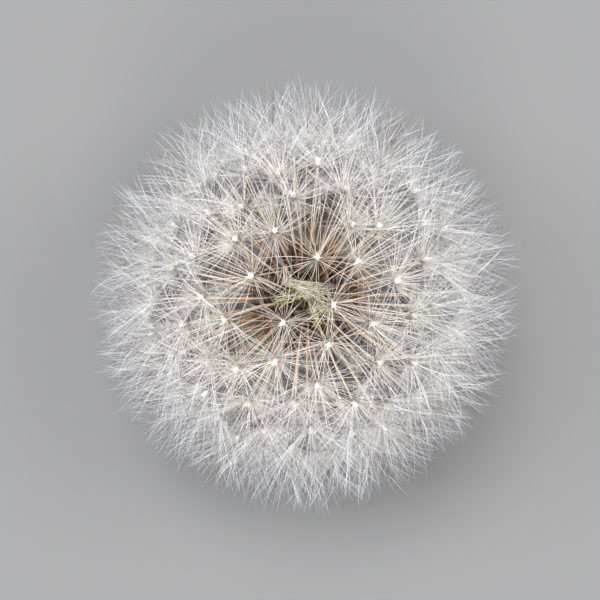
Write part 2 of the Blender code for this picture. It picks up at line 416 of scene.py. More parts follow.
def smooth_line(points, count):
    """Points on a smooth curve through the given ones."""
    spans = len(points) - 1
    before, after = 2 * points[:1] - points[1:2], 2 * points[-1:] - points[-2:-1]
    padded = np.concatenate([before, points, after])
    places = np.linspace(0, 1, count) * spans
    starts = np.minimum(places.astype(int), spans - 1)
    t = (places - starts)[:, None]
    p0, p1, p2, p3 = (padded[starts + i] for i in range(4))
    square, cube = 2 * p0 - 5 * p1 + 4 * p2 - p3, 3 * p1 - p0 - 3 * p2 + p3
    return 0.5 * (2 * p1 + (p2 - p0) * t + square * t**2 + cube * t**3)


# --- where the seeds stand ---


def polar(distance, tilt, turn):
    """Points at these angles from the crown, seen from the head's middle."""
    across = distance * np.sin(tilt)
    return np.stack([across * np.cos(turn), across * np.sin(turn), distance * np.cos(tilt)], -1)


def seed_sites():
    """Each star's tilt from the crown and turn round the stem, on a golden-angle spiral."""
    draw = random.Random(2465)
    step = (1 - math.cos(LOWEST_STAR)) / (SEEDS + SPIRAL_START - 0.5)
    sites = []
    for i in range(SEEDS):
        tilt = math.acos(1 - (i + SPIRAL_START) * step)
        turn = SPIRAL_TURN - i * GOLDEN_ANGLE
        tilt += draw.uniform(-JITTER, JITTER)
        turn += draw.uniform(-JITTER, JITTER) / max(math.sin(tilt), STEEPEST)
        sites.append((min(tilt, LOWEST_STAR), turn))
    return np.array(sites)


class Seeds:
    """The line of every seed, from its root in the receptacle to its star, and the star's frame."""

    def __init__(self):
        self.tilt, self.turn = seed_sites().T
        self.root = polar(CORE_RADIUS, self.tilt * ROOT_SQUEEZE, self.turn)
        self.bend = self.root + polar(SEED_LENGTH, self.tilt * ROOT_LEAN, self.turn)
        self.star = polar(STAR_RADIUS, self.tilt, self.turn)
        self.heading = unit(self.star - self.bend)
        level = np.zeros_like(self.turn)
        self.first = np.stack([-np.sin(self.turn), np.cos(self.turn), level], -1)
        self.second = unit(np.cross(self.heading, self.first))

    def at(self, t):
        """Points along the lines, at the shares t of their curves, a row for each seed."""
        t = t[..., None]
        root, bend, star = (side[:, None] for side in (self.root, self.bend, self.star))
        return root * (1 - t) ** 2 + bend * 2 * t * (1 - t) + star * t**2

    def shares(self, distances):
        """The curve's shares at which each line has run these distances from its root."""
        fine = np.linspace(0, 1, 200)
        points = self.at(np.broadcast_to(fine, (SEEDS, fine.size)))
        steps = np.linalg.norm(np.diff(points, axis=1), axis=-1)
        run = np.concatenate([np.zeros((SEEDS, 1)), np.cumsum(steps, axis=1)], axis=1)
        return np.array([np.interp(want, line, fine) for want, line in zip(distances, run)])


seeds = Seeds()


# --- the pappus ---


class Tier(NamedTuple):
    """A ring of stars that becomes one piece of the pappus."""

    name: str
    low: float  # where it starts, in degrees from the crown
    high: float
    full: float  # its stars' bristles, as a share of the usual
    wide: float  # their width, as a share
    inside: float  # how dark the painted shade on their sides towards the head's middle is
    deep: float  # how far the dullest of them are darkened further with painted shade
    leans: tuple  # the least, the usual and the most that they lean, in degrees


TIERS = (
    Tier("crown", 0, 24, 0.6, 1.0, 0.0, 0.0, (28, 52, 84)),
    Tier("brow", 24, 50, 1.15, 0.95, 0.2, 0.2, (24, 52, 84)),
    Tier("shoulder", 50, 80, 1.0, 0.88, 0.8, 1.0, (18, 50, 82)),
    Tier("waist", 80, 110, 1.0, 0.93, 1.0, 1.0, (10, 34, 76)),
    Tier("base", 110, 128, 1.4, 1.3, 1.0, 1.0, (14, 46, 82)),
    Tier("foot", 128, 180, 1.6, 1.3, 1.0, 1.0, (14, 46, 82)),
)
COOL_FROM = 90  # degrees from the crown to where no tier is warm

# A bristle's width from its root to its tip, as shares
BRISTLE_TAPER = (0.65, 1.0, 0.95, 0.72, 0.48, 0.1)
ROOT_DEPTH = 0.35 * MM  # from a star's middle down to its bristles' roots
ROOT_RING = 0.20 * MM  # from the seed's line out to them
FLOOR_CLEARANCE = 0.02 * MM

# How bristles differ. A range is the least and the most, a spread a middle and a deviation.
# Angles are in degrees, lengths and widths are shares
STAR_TILT = 0.13  # deviation of a star off its seed's line, as a tangent
TURN_STRAY = 0.6  # of the step between two bristles
BUNCH_RANGE, PULL_RANGE = (2, 6), (0.1, 0.8)  # bunches in a star, and how tight they are
WAVE_RANGE, WAVE_LEAN = (2, 5), 9  # waves of the lean round a star, and their height
LEAN_SPREAD = (0, 3)  # of a star's bristles together
REACH_SPREAD, REACH_MOST, REACH_RANGE = (0.99, 0.06), 1.03, (0.95, 1.02)  # the last of a star's
BEND_SPREAD, DRIFT_SPREAD = (5, 18), (0, 17)  # how far it bends out, and strays sideways
WIDTH_RANGE = (0.85, 1.15)
THINNEST, TONE_WIDTH = 0.45, 0.65  # width of the dullest, and how much the whitest add


def bristle_material(head, tier):
    """White bristles with painted cool light on their ends. Low tones are dull; painted shade darkens
    the inner sides and the dull ones low down and at the crown, and painted light keeps the roots
    white.
    """
    graph = Graph("bristle_" + tier.name, 0.4)
    along, tone, tint, inner = (graph.value(name) for name in ("along", "tone", "tint", "inner"))
    warmth = max(0, 1 - tier.high / COOL_FROM)
    white = graph.mix(head.bristle_white, head.bristle_warm, warmth)
    # painted light: the ends turn cool, for bluish light on them
    cool = graph.clamp(along * 0.9 + tint * 0.4 - 0.35)
    shown = graph.mix(white, head.bristle_cool_light, cool * (1 - warmth))
    # painted shade: the dull strands of the low tiers are darker, as the head's upper half shades
    # them
    dull = graph.mix(head.bristle_dull, head.bristle_dull_and_shade, tier.deep)
    # painted shade: the crown's dull strands take the same dark brown, for the shade between the
    # seeds there
    dull = graph.mix(dull, head.bristle_painted_shade, warmth * 0.8)
    # dull tones at random, faded out near the hub: the roots are kept white as painted light, for
    # light scattered through them
    shown = graph.mix(shown, dull, (1 - tone) * graph.smooth(along, 0.10, 0.45))
    # painted shade on the sides facing the head's middle, faded near the hub and weaker on the
    # whitest bristles
    shade = inner * graph.smooth(along, 0.06, 0.35) * (1 - graph.smooth(tone, 0.5, 1.1) * 0.8)
    graph.set("Base Color", graph.mix(shown, head.bristle_painted_shade, shade))
    return graph.material


def bristle_lines(which, count, length, leans, draw):
    """The bristles of these seeds: each leaves the hub, leans out and bends a little."""
    each, star = (len(which), count), (len(which), 1)
    tilt = draw.normal(0, STAR_TILT, (len(which), 2, 1))
    sideways = seeds.first[which] * tilt[:, 0] + seeds.second[which] * tilt[:, 1]
    heading = unit(seeds.heading[which] + sideways)[:, None]
    first = unit(np.cross(seeds.second[which][:, None], heading))
    second = np.cross(heading, first)
    places = (np.arange(count) + draw.uniform(-TURN_STRAY, TURN_STRAY, each)) / count
    turns = math.tau * places + draw.uniform(0, math.tau, star)
    bunches, pull = draw.integers(*BUNCH_RANGE, star), draw.uniform(*PULL_RANGE, star)
    turns = turns + pull * np.sin(bunches * (turns - draw.uniform(0, math.tau, star))) / bunches
    waves = np.sin(draw.integers(*WAVE_RANGE, star) * turns + draw.uniform(0, math.tau, star))
    lean = draw.triangular(*leans, each) + draw.normal(*LEAN_SPREAD, star)
    lean = np.radians(lean + WAVE_LEAN * waves)
    reach = length * np.minimum(draw.normal(*REACH_SPREAD, each), REACH_MOST)
    reach = reach * draw.uniform(*REACH_RANGE, star)
    bend = np.radians(draw.normal(*BEND_SPREAD, each))
    drift = np.radians(draw.normal(*DRIFT_SPREAD, each))

    def aside(angles):
        return first * np.cos(angles)[..., None] + second * np.sin(angles)[..., None]

    steps = len(BRISTLE_TAPER) - 1
    point = seeds.star[which][:, None] - heading * ROOT_DEPTH + aside(turns) * ROOT_RING
    points = [point]
    for share in (np.arange(steps) + 0.5) / steps:
        leaning = (lean + bend * (share - 0.5) * 2)[..., None]
        way = heading * np.cos(leaning) + aside(turns + drift * share) * np.sin(leaning)
        point = point + way * (reach / steps)[..., None]
        points.append(point)
    lines = np.stack(points, 2).reshape(-1, steps + 1, 3) + LIFT
    lines[..., 2] = np.maximum(lines[..., 2], FLOOR_CLEARANCE)
    return lines


class DANDELION_OT_pappus(bpy.types.Operator):
    """Add every seed's star of fine bristles, one piece for each tier of the head"""

    bl_idname = "dandelion.pappus"
    bl_label = "Pappus"

    def execute(self, context):
        head = context.scene.dandelion_head
        draw = np.random.default_rng(5)
        tilts = np.degrees(seeds.tilt)
        for tier in TIERS:
            which = np.flatnonzero((tilts >= tier.low) & (tilts < tier.high))
            count = round(head.bristles * tier.full)
            lines = bristle_lines(which, count, head.bristle_length, tier.leans, draw)
            columns = columns_for(draw, draw.uniform(0, 1, len(which)), count)
            thick = THINNEST + TONE_WIDTH * tones_of(columns)
            thick = thick * draw.uniform(*WIDTH_RANGE, len(lines))
            thick = thick * tier.wide * head.bristle_width / 2
            radii = thick[:, None] * np.array(BRISTLE_TAPER)
            name, material = "pappus_" + tier.name, bristle_material(head, tier)
            # each tier's bristles carry its painted shade on their inner sides
            strand_piece(name, lines, radii, 3, columns, material, "pappus", inner_painted_shade=tier.inside)
        return {"FINISHED"}


# A hub's outline, in mm up and out, and how its rim runs out and in
HUB_HEIGHTS = (-0.50, -0.24, -0.04, 0.26, 0.54, 0.68)
HUB_WIDTHS = (0.06, 0.12, 0.22, 0.30, 0.23, 0.0)
HUB_RIM = (1.25, 0.7, 1.0, 0.65, 1.2, 0.75, 1.05, 0.6, 1.2, 0.7, 1.0, 0.6)
HUB_RANGE = (0.8, 1.15)  # of its size

# The short hairs on a hub
HAIRS, HAIR_STATIONS = 16, 4
HAIR_LEANS, HAIR_LENGTHS = (25, 88), (0.45, 1.0)  # ranges, in degrees and in mm
HAIR_FOOT = 0.3 * MM  # over the star's middle
HAIR_RADII = (0.055, 0.018)  # at its foot and at its tip, in mm


def add_buttons(head, draw):
    graph = Graph("pappus_hub", 0.45)
    cream = graph.smooth(graph.value("tint"), 0.3, 1.0)
    top = graph.mix(head.hub_white, head.hub_cream, cream)
    # painted shade: the hub's side next to the beak is darker, partly the beak's tan
    low = graph.smooth(1 - graph.value("along"), 0.55, 0.85)
    graph.set("Base Color", graph.mix(top, head.hub_tan_and_shade, low))
    heights = np.array(HUB_HEIGHTS)[:, None] * MM
    lines = seeds.star[:, None] + seeds.heading[:, None] * heights + LIFT
    radii = np.array(HUB_WIDTHS) * MM * draw.uniform(*HUB_RANGE, (SEEDS, 1))
    columns = columns_for(draw, draw.uniform(0, 1, SEEDS), 1)
    rim, material = HUB_RIM, graph.material
    strand_piece("pappus_hubs", lines, radii, len(rim), columns, material, "pappus", rim)


def add_hairs(head, draw):
    graph = Graph("pappus_hair", 0.4)
    cream = graph.value("tint") * 0.5
    graph.set("Base Color", graph.mix(head.hub_white, head.hub_cream, cream))
    shape = (SEEDS, HAIRS, 1)
    turns = draw.uniform(0, math.tau, shape)
    leans = np.radians(draw.uniform(*HAIR_LEANS, shape))
    lengths = draw.uniform(*HAIR_LENGTHS, shape) * MM
    first, second, heading = (way[:, None] for way in (seeds.first, seeds.second, seeds.heading))
    sideways = first * np.cos(turns) + second * np.sin(turns)
    reach = (heading * np.cos(leans) + sideways * np.sin(leans)) * lengths
    share = np.linspace(0, 1, HAIR_STATIONS)
    feet = seeds.star[:, None] + heading * HAIR_FOOT
    lines = feet[:, :, None] + reach[:, :, None] * share[:, None]
    lines = lines.reshape(-1, HAIR_STATIONS, 3) + LIFT
    radii = np.interp(share, (0, 1), HAIR_RADII) * MM
    columns = columns_for(draw, draw.uniform(0, 1, SEEDS), HAIRS)
    strand_piece("pappus_hairs", lines, radii, 3, columns, graph.material, "pappus")


class DANDELION_OT_hubs(bpy.types.Operator):
    """Add the ragged white button at the middle of each star, with the short hairs on it"""

    bl_idname = "dandelion.hubs"
    bl_label = "Hubs"

    def execute(self, context):
        head = context.scene.dandelion_head
        draw = np.random.default_rng(6)
        add_buttons(head, draw)
        add_hairs(head, draw)
        return {"FINISHED"}


# --- the unripe florets at the crown ---

# They lie in brushes. Each row gives a brush's foot, in mm from the head's middle, the turn and
# lean that it lies along, in degrees, its length in mm and its strands
BRUSHES = (
    ((-2.1, 1.7, 8.2), -22, 84, 6.0, 30),
    ((-2.2, 3.1, 8.2), -84, 82, 3.0, 10),
    ((-3.4, -0.2, 7.6), 12, 82, 3.2, 8),
    ((0.2, 0.9, 7.4), -12, 80, 3.0, 10),
    ((0.8, -2.2, 7.2), 55, 70, 3.2, 8),
)
FOOT_SPREAD, WAY_SPREAD = 0.22 * MM, 6  # deviation of the feet, and of the turns and leans
BRUSH_LENGTHS, BRUSH_WIDTHS = (0.6, 1.05), (0.7, 1.3)  # ranges, as shares
BRUSH_CURL, BRUSH_TWIST = (8, 16), (0, 22)  # spreads, in degrees
BRUSH_TAPER = np.linspace(1.4, 0.6, 9)  # as shares of a bristle's width

# Short curls lie between them, round these places in mm from the head's middle
CURL_SPOTS = ((-2.4, -0.4, 7.5), (1.4, 0.2, 7.4), (1.5, -1.6, 7.0), (-0.6, 0.9, 7.2))
CURL_REACH = (0.9, 0.7, 0.5)  # a curl's start from its place, at most
CURLS = 22  # round each place
CURL_LEANS, CURL_LENGTHS = (45, 95), (0.7, 2.2)  # ranges, in degrees and in mm
CURL_CURL, CURL_TWIST = (0, 50), (0, 80)  # spreads, in degrees
CURL_TAPER = np.array([0.6, 0.9, 1, 1, 0.95, 0.8, 0.6, 0.3])
CURL_WIDTHS = (0.6, 1.2)


def curling_lines(feet, turns, leans, lengths, curls, twists, stations):
    """Lines that leave their feet at a lean and a turn, and curl and twist on their way."""
    share = np.linspace(0, 1, stations)
    way = polar(1.0, leans + curls * share, turns + twists * share)
    steps = way[:, 1:] * (lengths / (stations - 1))[..., None]
    run = np.concatenate([np.zeros((len(feet), 1, 3)), np.cumsum(steps, axis=1)], axis=1)
    return feet[:, None] + run + LIFT


def add_brushes(head, draw):
    graph = Graph("wisp", 0.5)
    along, tone = graph.value("along"), graph.value("tone")
    pale = graph.mix(head.wisp_green, head.wisp_pale, graph.smooth(along, -0.1, 0.6))
    graph.set("Base Color", graph.mix(pale, head.wisp_shade, (1 - tone) * 0.4))
    lines = []
    for foot, turn, lean, length, strands in BRUSHES:
        shape = (strands, 1)
        feet = np.array(foot) * MM + draw.normal(0, FOOT_SPREAD, (strands, 3))
        turns = np.radians(turn + draw.normal(0, WAY_SPREAD, shape))
        leans = np.radians(lean + draw.normal(0, WAY_SPREAD, shape))
        lengths = length * MM * draw.uniform(*BRUSH_LENGTHS, shape)
        curls = np.radians(draw.normal(*BRUSH_CURL, shape))
        twists = np.radians(draw.normal(*BRUSH_TWIST, shape))
        stations = len(BRUSH_TAPER)
        lines.append(curling_lines(feet, turns, leans, lengths, curls, twists, stations))
    lines = np.concatenate(lines)
    columns = draw.integers(0, TONES * TINTS, len(lines))
    radii = BRUSH_TAPER * head.bristle_width / 2
    radii = radii * draw.uniform(*BRUSH_WIDTHS, (len(lines), 1))
    strand_piece("wisps", lines, radii, 3, columns, graph.material, "pappus")


def add_curls(head, draw):
    graph = Graph("curl", 0.5)
    tone, tint = graph.value("tone"), graph.value("tint")
    yellow = graph.mix(head.curl_green, head.curl_yellow, tone)
    pale = graph.smooth(tint, 0.6, 1.0)
    graph.set("Base Color", graph.mix(yellow, head.curl_pale, pale))
    count = CURLS * len(CURL_SPOTS)
    shape = (count, 1)
    feet = unit(draw.normal(0, 1, (count, 3))) * draw.uniform(0, 1, shape) ** 0.5
    feet = (feet * CURL_REACH + np.repeat(CURL_SPOTS, CURLS, axis=0)) * MM
    turns = draw.uniform(0, math.tau, shape)
    leans = np.radians(draw.uniform(*CURL_LEANS, shape))
    lengths = draw.uniform(*CURL_LENGTHS, shape) * MM
    curls = np.radians(draw.normal(*CURL_CURL, shape))
    twists = np.radians(draw.normal(*CURL_TWIST, shape))
    lines = curling_lines(feet, turns, leans, lengths, curls, twists, len(CURL_TAPER))
    radii = CURL_TAPER * head.curl_width / 2 * draw.uniform(*CURL_WIDTHS, shape)
    columns = draw.integers(0, TONES * TINTS, count)
    strand_piece("curls", lines, radii, 5, columns, graph.material, "pappus")


class DANDELION_OT_wisps(bpy.types.Operator):
    """Add the unripe florets matted at the crown: pale brushes over short yellow-green curls"""

    bl_idname = "dandelion.wisps"
    bl_label = "Wisps"

    def execute(self, context):
        head = context.scene.dandelion_head
        draw = np.random.default_rng(9)
        add_brushes(head, draw)
        add_curls(head, draw)
        return {"FINISHED"}


# --- the beaks ---

BEAK_START = 0.93  # of the achene's length
BEAK_SWAY = 0.22 * MM  # spread of a beak's bow to a side
BEAK_STATIONS, BEAK_SIDES = 16, 6
BEAK_TAPER = ((0, 0.06, 1), (1.3, 1.0, 0.62))  # shares of its run, and of its width there


class DANDELION_OT_beaks(bpy.types.Operator):
    """Add the thin stalk between each achene and its star"""

    bl_idname = "dandelion.beaks"
    bl_label = "Beaks"

    def execute(self, context):
        head = context.scene.dandelion_head
        graph = Graph("beak", 0.35)
        along, tone = graph.value("along"), graph.value("tone")
        low = graph.smooth(along + tone * 0.3, 0.12, 0.62)
        shown = graph.mix(head.beak_foot, head.beak_middle, low)
        high = graph.smooth(along + tone * 0.5, 0.6, 1.3)
        graph.set("Base Color", graph.mix(shown, head.beak_top, high))

        draw = np.random.default_rng(7)
        share = np.linspace(0, 1, BEAK_STATIONS)
        feet = seeds.shares(np.full((SEEDS, 1), SEED_LENGTH * BEAK_START))
        lines = seeds.at(feet + (1 - feet) * share)
        sway = draw.normal(0, BEAK_SWAY, (SEEDS, 2, 1))
        bow = (np.sin(np.pi * share) * sway)[..., None]
        lines = lines + seeds.first[:, None] * bow[:, 0] + seeds.second[:, None] * bow[:, 1]
        radii = np.interp(share, *BEAK_TAPER) * head.beak_width / 2
        columns = columns_for(draw, draw.uniform(0, 1, SEEDS), 1)
        strand_piece("beaks", lines + LIFT, radii, BEAK_SIDES, columns, graph.material, "beak")
        return {"FINISHED"}


# --- the achenes and the receptacle ---

ACHENE_STATIONS, ACHENE_SIDES = 15, 20
ACHENE_RIBS, RIB_HEIGHT = 10, 0.10  # the height as a share of the radius
ACHENE_SINK = 0.06  # of its length, in the receptacle
ACHENE_ROOT = 0.5 * MM  # how much deeper its pointed root goes
ACHENE_SIZES = (1, 0.05)  # a middle and its spread
# Shares of the seed's length, and of its width there
ACHENE_OUTLINE = ((0, 0.1, 0.35, 0.62, 0.78, 0.86, 1), (0.30, 0.42, 0.84, 1.0, 0.80, 0.34, 0.16))
UNRIPE_TO, UNRIPE_FADE = 10, 40  # degrees down to the last pale seeds, and on to ripe ones

SPINE_ROWS = ((8, 0.12), (9, 0.15), (10, 0.18), (11, 0.20), (12, 0.16))  # station, length in mm
SPINE_FOOT = 0.97  # of the seed's radius
SPINE_SINK = 0.05 * MM
SPINE_OUT, SPINE_AHEAD = 0.7, 0.8  # how far it points out and up, as shares
SPINE_RADII = (0.05, 0.03, 0.0)  # in mm


def achene_material(head):
    """Ripe brown seeds with tan necks, and pale unripe ones at the crown."""
    graph = Graph("achene", 0.55)
    along, tone, tint = graph.value("along"), graph.value("tone"), graph.value("tint")
    paler = graph.clamp(tone * 0.45 + graph.smooth(along, 0.70, 0.95) * 0.8)
    ripe = graph.mix(head.achene_brown, head.achene_tan, paler)
    shown = graph.mix(head.achene_pale, ripe, graph.smooth(tint + tone * 0.2, 0.25, 0.6))
    grain = graph.noise(graph.place(), 9000)
    specks = graph.clamp(grain - 0.35) * 0.9
    graph.set("Base Color", graph.mix(shown, head.achene_speck, specks))
    graph.set("Roughness", 0.45 + grain * 0.25)
    graph.bump(grain, 0.02 * MM, 0.6)
    return graph.material


def add_spines(lines, radii, columns, material):
    """Small teeth on the ribs of the upper half, which point up the seed."""
    first, second = side_frames(lines)
    angles = circle(ACHENE_RIBS)[:, None, None]
    spines = []
    for station, length in SPINE_ROWS:
        ahead = unit(lines[:, station + 1] - lines[:, station])
        out = first[:, station] * np.cos(angles) + second[:, station] * np.sin(angles)
        foot = lines[:, station] + out * radii[:, station, None] * SPINE_FOOT
        root = foot - out * SPINE_SINK
        tip = foot + (out * SPINE_OUT + ahead * SPINE_AHEAD) * length * MM
        spines.append(np.stack([root, (root + tip) / 2, tip], 2))
    spines = np.reshape(spines, (-1, 3, 3)) + LIFT
    columns = np.tile(columns, len(spines) // SEEDS)
    widths = np.array(SPINE_RADII) * MM
    strand_piece("achene_spines", spines, widths, 3, columns, material, "achene")


class DANDELION_OT_achenes(bpy.types.Operator):
    """Add the ribbed brown seeds with the small spines near their tops"""

    bl_idname = "dandelion.achenes"
    bl_label = "Achenes"

    def execute(self, context):
        material = achene_material(context.scene.dandelion_head)
        draw = np.random.default_rng(8)
        share = np.linspace(0, 1, ACHENE_STATIONS)
        size = draw.normal(*ACHENE_SIZES, (SEEDS, 1))
        run = share * (1 + ACHENE_SINK) - ACHENE_SINK
        lines = seeds.at(seeds.shares(SEED_LENGTH * run * np.ones((SEEDS, 1))))
        lines[:, 0] -= unit(seeds.bend - seeds.root) * ACHENE_ROOT
        radii = np.interp(share, *ACHENE_OUTLINE) * SEED_WIDTH / 2 * size
        ribs = 1 + RIB_HEIGHT * np.cos(ACHENE_RIBS * circle(ACHENE_SIDES))
        ripeness = np.clip((np.degrees(seeds.tilt) - UNRIPE_TO) / UNRIPE_FADE, 0, 1)
        columns = columns_for(draw, ripeness, 1)
        lifted, sides = lines + LIFT, ACHENE_SIDES
        strand_piece("achenes", lifted, radii, sides, columns, material, "achene", ribs)
        add_spines(lines, radii, columns, material)
        return {"FINISHED"}


CORE_RINGS, CORE_SIDES = 88, 180  # rings between its poles
PIT_REACH = 0.11  # from a root to its pit's rim, as a share of the radius
PIT_DEPTH, RIDGE_HEIGHT, RIDGE_WIDTH = 0.07, 0.03, 0.035  # as shares of it too
SKIN_FROM, SKIN_FADE = -0.45, 0.15  # height where the pits start, and over which they deepen


class DANDELION_OT_receptacle(bpy.types.Operator):
    """Add the domed, pitted receptacle that the seeds stand on"""

    bl_idname = "dandelion.receptacle"
    bl_label = "Receptacle"

    def execute(self, context):
        head = context.scene.dandelion_head
        tilts = np.linspace(0, np.pi, CORE_RINGS + 2)[1:-1]
        around = np.meshgrid(tilts, circle(CORE_SIDES), indexing="ij")
        around = polar(1.0, *around).reshape(-1, 3)
        ways = np.concatenate([around, [(0, 0, 1), (0, 0, -1)]])
        nearest = np.sort(np.linalg.norm(ways[:, None] - unit(seeds.root), axis=-1), axis=1)
        pit = np.clip(nearest[:, 0] / PIT_REACH, 0, 1)
        ridge = np.exp(-(((nearest[:, 1] - nearest[:, 0]) / RIDGE_WIDTH) ** 2))
        covered = np.clip((ways[:, 2] - SKIN_FROM) / SKIN_FADE, 0, 1)
        height = 1 - covered * (PIT_DEPTH * (1 - pit**2) - RIDGE_HEIGHT * ridge)
        points = ways * (CORE_RADIUS * height)[:, None]
        points[:, 2] *= np.where(points[:, 2] > 0, 1, UNDERSIDE)

        graph = Graph("receptacle_skin", 0.6)
        raised = graph.smooth(graph.value("raised"), 0.0, 0.8)
        grain = graph.noise(graph.place(), 6000)
        skin = graph.mix(head.receptacle_pit, head.receptacle_pale, raised)
        flecks = graph.clamp(grain - 0.45) * 0.9
        graph.set("Base Color", graph.mix(skin, head.receptacle_fleck, flecks))
        graph.bump(grain, 0.03 * MM, 0.5)
        faces = globe_faces(CORE_RINGS, CORE_SIDES)
        points, material = points + LIFT, graph.material
        piece = make_piece("receptacle", points, faces, material, "receptacle", "seed_head")
        set_values(piece, raised=np.clip(pit**2 * 0.7 + ridge * 0.5, 0, 1))
        return {"FINISHED"}


# --- the bracts ---


class Bracts(NamedTuple):
    """One row of bracts. Its lines give distances from the axis and depths, in mm."""

    name: str
    count: int
    turn: float  # of the first bract, in radians
    path: tuple  # of a bract, from its root to its tip
    widths: tuple  # at the path's points, in mm
    collar: tuple  # the outline of the ring they grow from
    draw: int  # what its random draw starts from
    dryness: float


ROWS = (
    Bracts(
        "inner_bracts",
        count=13,
        turn=0.1,
        path=((2.9, 3.5), (3.75, 3.75), (4.05, 4.9), (3.95, 8.2), (4.35, 11.8), (5.3, 15.0)),
        widths=(1.3, 1.5, 1.5, 1.5, 1.15, 0.45),
        collar=((2.5, 4.6), (3.2, 4.4), (3.5, 3.1), (2.5, 3.1)),
        draw=31,
        dryness=0.6,
    ),
    Bracts(
        "outer_bracts",
        count=11,
        turn=0.3,
        path=((2.75, 5.9), (3.0, 6.4), (2.95, 7.9), (2.95, 10.4), (3.15, 13.4)),
        widths=(1.2, 1.3, 1.3, 1.15, 0.45),
        collar=((2.5, 6.9), (3.0, 6.7), (3.0, 5.5), (2.5, 5.2)),
        draw=37,
        dryness=1.4,
    ),
)

# One bract, as a grid of points from its root to its tip and from edge to edge
LEAF_LONG, LEAF_WIDE = 34, 13
LEAF_ALONG = np.linspace(0, 1, LEAF_LONG)[:, None]
LEAF_ACROSS = np.linspace(-1, 1, LEAF_WIDE)
LEAF_THICKNESS = 0.24 * MM  # half of it, in its middle at the root
EDGE_THINNING, TIP_THINNING = 0.75, 0.5  # of its edges and its tip, as shares
MIDRIB_HEIGHT, MIDRIB_WIDTH = 0.05 * MM, 0.12  # the width as a share of half the bract's
CUPPING = 0.16 * MM  # how far its edges turn in

# Ranges of a bract's turn in radians, its tip's flare in mm, its length as a share and its tip's
# swing sideways in mm
LEAF_RANGES = ((-0.04, 0.04), (-0.10, 0.30), (0.93, 1.0), (-0.35, 0.35))

COLLAR_RINGS, COLLAR_SIDES = 16, 96
COLLAR_ALONG = 0.05  # it has the colour of a bract this far along


def bract_material(row, green):
    """Streaked green with dry patches, a pale thin margin and a brown tip."""
    graph = Graph(row.name, 0.5)
    along, across = graph.value("along"), graph.value("across")
    edge = graph.math("ABSOLUTE", across - 0.5) * 2
    streaks = graph.noise(graph.scaled(graph.place(), (1, 1, 0.12)), 5000)
    shown = graph.mix(green.bract_green, green.bract_streak, streaks)
    shown = graph.mix(shown, green.bract_dry, graph.clamp(streaks - 0.4) * row.dryness)
    shown = graph.mix(shown, green.bract_margin, graph.smooth(edge, 0.62, 0.98))
    tip = graph.smooth(along + streaks * 0.12, 0.88, 1.04)
    graph.set("Base Color", graph.mix(shown, green.bract_tip, tip))
    graph.set("Roughness", 0.42 + streaks * 0.25)
    graph.bump(streaks, 0.04 * MM, 0.5)
    return graph.material


def leaf_points(row):
    """A row's bracts as grids of points: the outer face and then the inner face of each."""
    draw = random.Random(row.draw)
    strays = [[draw.uniform(*limits) for limits in LEAF_RANGES] for _ in range(row.count)]
    turn, flare, length, swing = np.array(strays).T[..., None, None, None]
    turn = row.turn + circle(row.count)[:, None, None, None] + turn
    line = smooth_line(np.array(row.path) * MM, LEAF_LONG)
    widths = smooth_line(np.array(row.widths)[:, None] * MM, LEAF_LONG)
    ahead = unit(np.gradient(line, axis=0))
    side = np.array([1, -1])[:, None, None]
    thick = LEAF_THICKNESS * (1 - EDGE_THINNING * abs(LEAF_ACROSS) ** 3)
    rib = MIDRIB_HEIGHT * np.exp(-((LEAF_ACROSS / MIDRIB_WIDTH) ** 2)) * (1 - LEAF_ALONG)
    off = side * thick * (1 - TIP_THINNING * LEAF_ALONG) + rib - CUPPING * LEAF_ACROSS**2
    out = line[:, :1] + ahead[:, 1:] * off + flare * MM * LEAF_ALONG**2
    down = line[0, 1] + (line[:, 1:] - line[0, 1]) * length - ahead[:, :1] * off
    sideways = LEAF_ACROSS * widths / 2 + swing * MM * LEAF_ALONG**2
    x = out * np.cos(turn) - sideways * np.sin(turn)
    y = out * np.sin(turn) + sideways * np.cos(turn)
    return np.stack([x, y, MIDDLE - down], -1)


def leaf_faces():
    """One bract's triangles: its outer face, its inner face and the rim between them."""
    grid = np.arange(LEAF_LONG * LEAF_WIDE).reshape(LEAF_LONG, LEAF_WIDE)
    outer, sheet = cells(grid), grid.size
    rim = np.concatenate([grid[0], grid[1:, -1], grid[-1, -2::-1], grid[-2:0:-1, 0]])
    after = np.roll(rim, -1)
    edge = np.stack([rim, rim + sheet, after, after, rim + sheet, after + sheet], -1)
    return np.concatenate([outer, outer[:, [0, 2, 1]] + sheet, edge.reshape(-1, 3)])


def add_leaves(row, material):
    points = leaf_points(row)
    starts = 2 * LEAF_LONG * LEAF_WIDE * np.arange(row.count)
    faces = (leaf_faces() + starts[:, None, None]).reshape(-1, 3)
    name = row.name + "_leaves"
    piece = make_piece(name, points.reshape(-1, 3), faces, material, row.name, row.name)
    along = np.broadcast_to(LEAF_ALONG, points.shape[:-1])
    across = np.broadcast_to((LEAF_ACROSS + 1) / 2, points.shape[:-1])
    set_values(piece, along=along, across=across)


def add_collar(row, material):
    closed = np.array(row.collar + row.collar[:1]) * MM
    outline = smooth_line(closed, COLLAR_RINGS + 1)[:-1]
    points = turned(np.repeat(outline[:, :1], COLLAR_SIDES, axis=1), MIDDLE - outline[:, 1])
    faces = ring_faces(COLLAR_RINGS, COLLAR_SIDES)
    piece = make_piece(row.name + "_collar", points, faces, material, row.name, row.name)
    count = len(points)
    set_values(piece, along=np.full(count, COLLAR_ALONG), across=np.full(count, 0.5))


class DANDELION_OT_bracts(bpy.types.Operator):
    """Add both rows of turned-down bracts, each with the collar that it grows from"""

    bl_idname = "dandelion.bracts"
    bl_label = "Bracts"

    def execute(self, context):
        for row in ROWS:
            material = bract_material(row, context.scene.dandelion_green)
            add_leaves(row, material)
            add_collar(row, material)
        return {"FINISHED"}


# --- the stem ---

